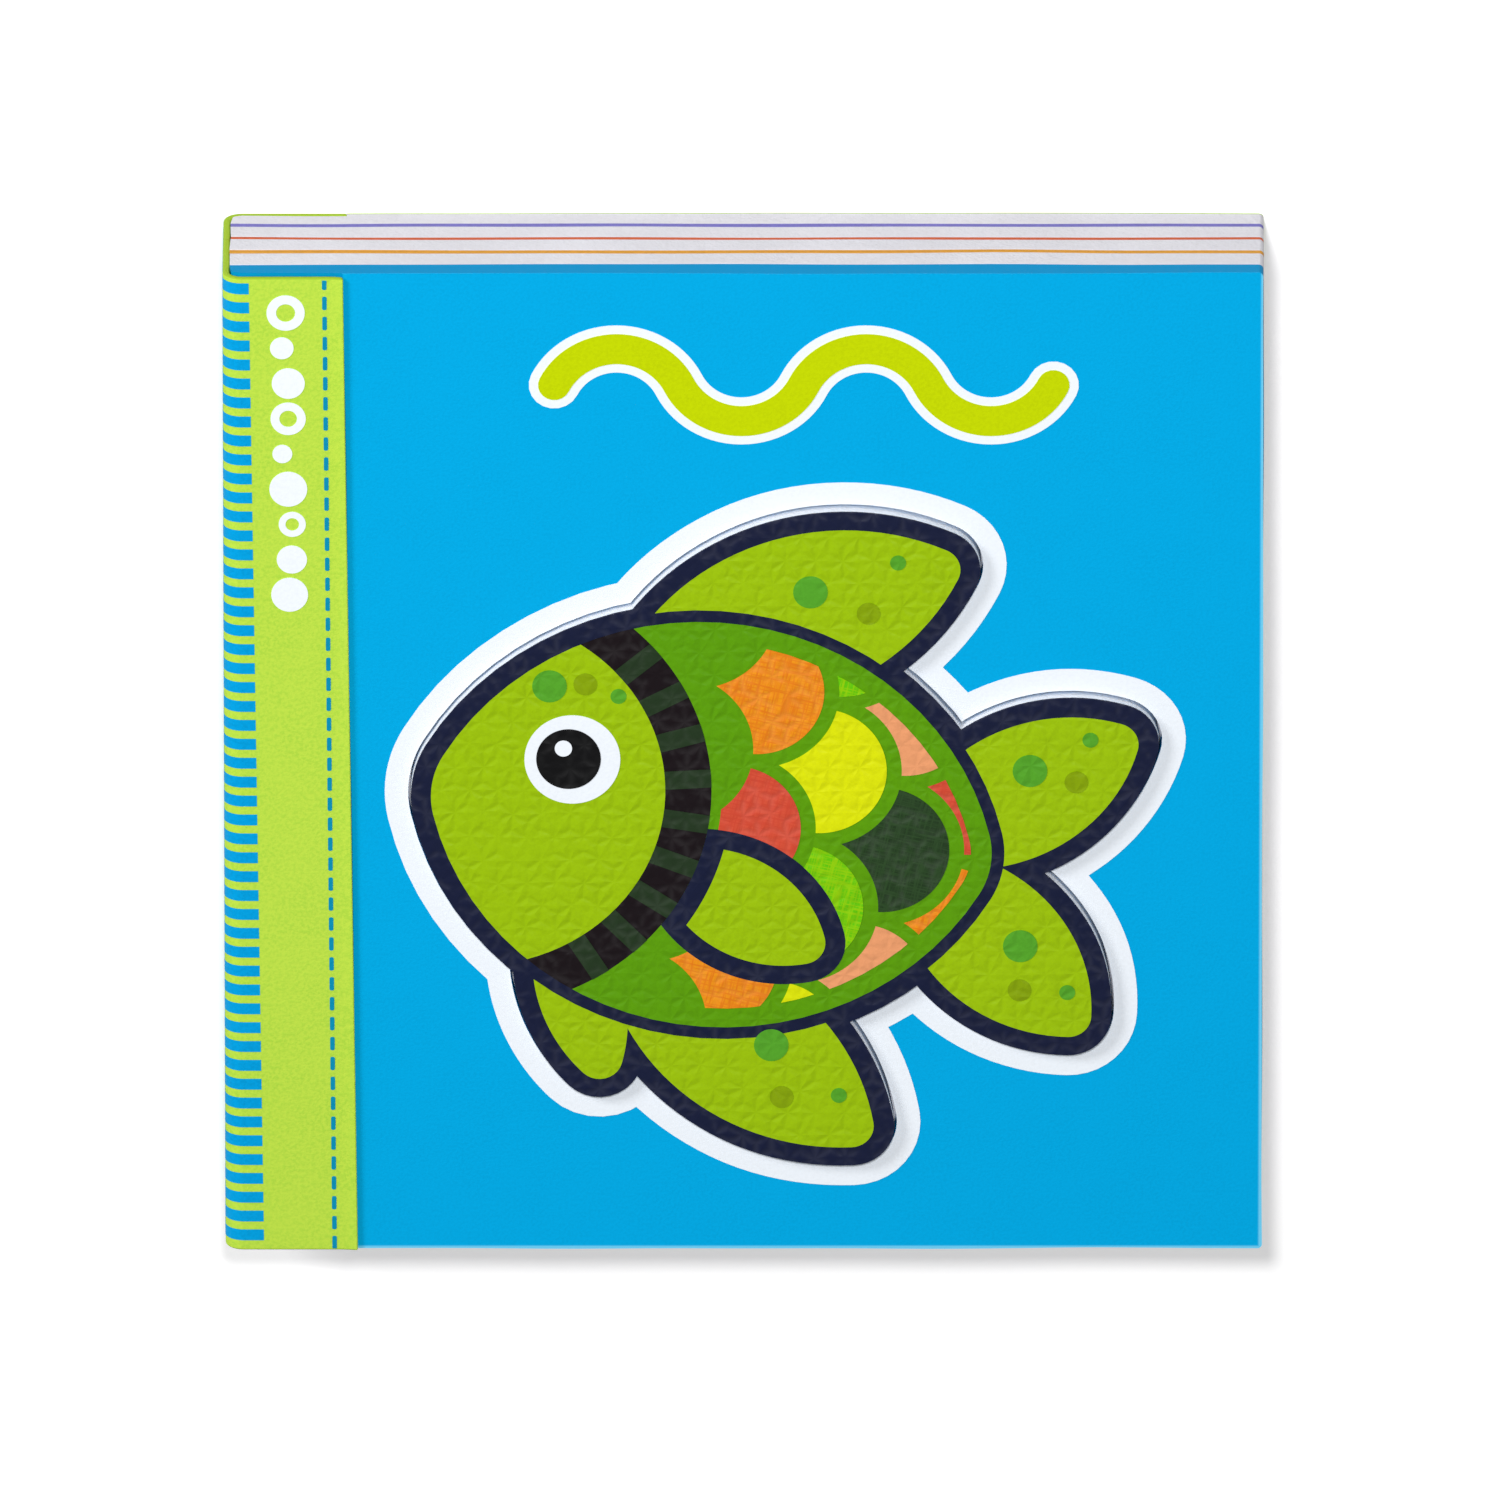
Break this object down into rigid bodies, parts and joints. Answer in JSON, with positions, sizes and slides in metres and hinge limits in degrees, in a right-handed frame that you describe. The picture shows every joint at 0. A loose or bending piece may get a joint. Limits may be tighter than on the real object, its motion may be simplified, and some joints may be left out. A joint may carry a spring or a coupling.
{
  "type": "soft foam book",
  "caption": "Square soft foam book with thick foam leaves, a wrapped striped spine and a raised pop-out fish die-cut into its front cover.",
  "frame": {"origin": "middle of the back cover's outer face, which the book rests on", "axes": "+Z out of the front cover, +Y to the book's top edge, spine on the -X side"},
  "size_m": [0.18, 0.1834, 0.03],
  "materials": {
    "white_foam": "matte closed-cell foam",
    "blue_foam": "matte closed-cell foam",
    "strip_foam": "soft matte strip with mottled print",
    "lime_sheet": "printed film",
    "indigo_sheet": "printed film",
    "red_sheet": "printed film",
    "orange_sheet": "printed film",
    "blue_print": "ink",
    "white_print": "ink",
    "wave_lime": "ink",
    "navy_film": "satin embossed film",
    "fin_lime": "satin embossed film",
    "band_brown": "satin embossed film",
    "stripe_green": "satin embossed film",
    "bed_green": "satin embossed film",
    "coral": "satin embossed film",
    "peach": "satin embossed film",
    "yellow": "satin embossed film",
    "orange": "satin embossed film with a linen print",
    "dark_green": "satin embossed film",
    "bright_green": "satin embossed film with a linen print",
    "spot_green": "satin embossed film",
    "spot_olive": "satin embossed film",
    "pupil_black": "satin embossed film"
  },
  "bodies": {
    "back_cover": {"back_sheet": "lime_sheet", "back_board": "white_foam", "back_lining": "indigo_sheet", "spine_wrap_back": "strip_foam", "spine_bars_back": "blue_print"},
    "page_block": {"page_sheet_back": "indigo_sheet", "page_block": "white_foam", "page_sheet_middle": "red_sheet", "page_sheet_front": "orange_sheet", "spine_wrap_middle": "strip_foam", "spine_bars_middle": "blue_print"},
    "front_cover": {"front_lining": "orange_sheet", "front_board": "white_foam", "cover_layer": "blue_foam", "popout_margin": "white_print", "spine_wrap_front": "strip_foam", "spine_bars_front": "blue_print", "stitch_dashes": "blue_print", "strip_bubbles": "white_print", "wave_border": "white_print", "wave_band": "wave_lime", "popout_core": "white_foam", "popout_sheet": "navy_film", "fin_fields": "fin_lime", "gill_band": "band_brown", "gill_stripes": "stripe_green", "scale_bed": "bed_green", "scales_coral": "coral", "scales_peach": "peach", "scales_yellow": "yellow", "scales_orange": "orange", "scales_dark_green": "dark_green", "scales_bright_green": "bright_green", "side_fin_outline": "navy_film", "side_fin": "fin_lime", "spots_green": "spot_green", "spots_olive": "spot_olive", "eye_white": "white_print", "eye_pupil": "pupil_black", "eye_glint": "white_print"}
  },
  "joints": [
    {"name": "back_hinge", "type": "hinge", "parent": "back_cover", "child": "page_block", "pos_m": [-0.0902, 0, 0.00535], "axis": [0, -1, 0], "range_deg": [0, 90]},
    {"name": "front_hinge", "type": "hinge", "parent": "page_block", "child": "front_cover", "pos_m": [-0.0902, 0, 0.01725], "axis": [0, -1, 0], "range_deg": [0, 180]}
  ]
}
